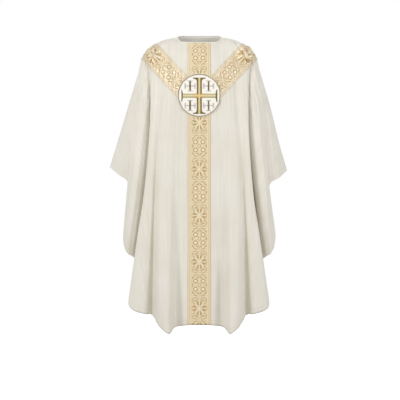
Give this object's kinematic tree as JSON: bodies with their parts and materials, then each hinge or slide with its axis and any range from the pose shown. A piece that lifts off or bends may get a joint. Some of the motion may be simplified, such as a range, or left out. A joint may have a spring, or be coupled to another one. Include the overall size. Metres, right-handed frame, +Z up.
{
  "type": "chasuble",
  "caption": "Loose sleeveless vestment worn over the shoulders, with a round neck opening, a Y of brocade bands and an embroidered cross medallion on the chest.",
  "frame": {"origin": "midway between the two high shoulder points, where the neckline meets the shoulder seams", "axes": "+Z up the wearer, +X on the right of someone who faces the front of the garment, front towards -Y"},
  "size_m": [0.7894, 0.3707, 1.3104],
  "materials": {
    "ivory_cloth": "matt, softly lit plain weave",
    "ivory_facing": "matt plain weave",
    "gold_brocade": "woven brocade with a soft metallic sheen",
    "white_satin": "satin",
    "gold_cord": "twisted metallic cord",
    "gold_thread": "satin-stitch embroidery",
    "bronze_thread": "satin-stitch embroidery"
  },
  "bodies": {
    "root": {"front_panel": "ivory_cloth", "back_panel": "ivory_cloth", "front_neck_facing": "ivory_facing", "back_neck_facing": "ivory_facing", "front_hem_facing": "ivory_facing", "back_hem_facing": "ivory_facing", "neck_binding": "ivory_facing", "front_column_orphrey": "gold_brocade", "back_column_orphrey": "gold_brocade", "front_left_yoke_orphrey": "gold_brocade", "front_right_yoke_orphrey": "gold_brocade", "back_left_yoke_orphrey": "gold_brocade", "back_right_yoke_orphrey": "gold_brocade", "medallion_ground": "white_satin", "medallion_cord": "gold_cord", "great_cross": "gold_thread", "upper_left_small_cross": "bronze_thread", "upper_right_small_cross": "bronze_thread", "lower_left_small_cross": "bronze_thread", "lower_right_small_cross": "bronze_thread"}
  },
  "joints": []
}
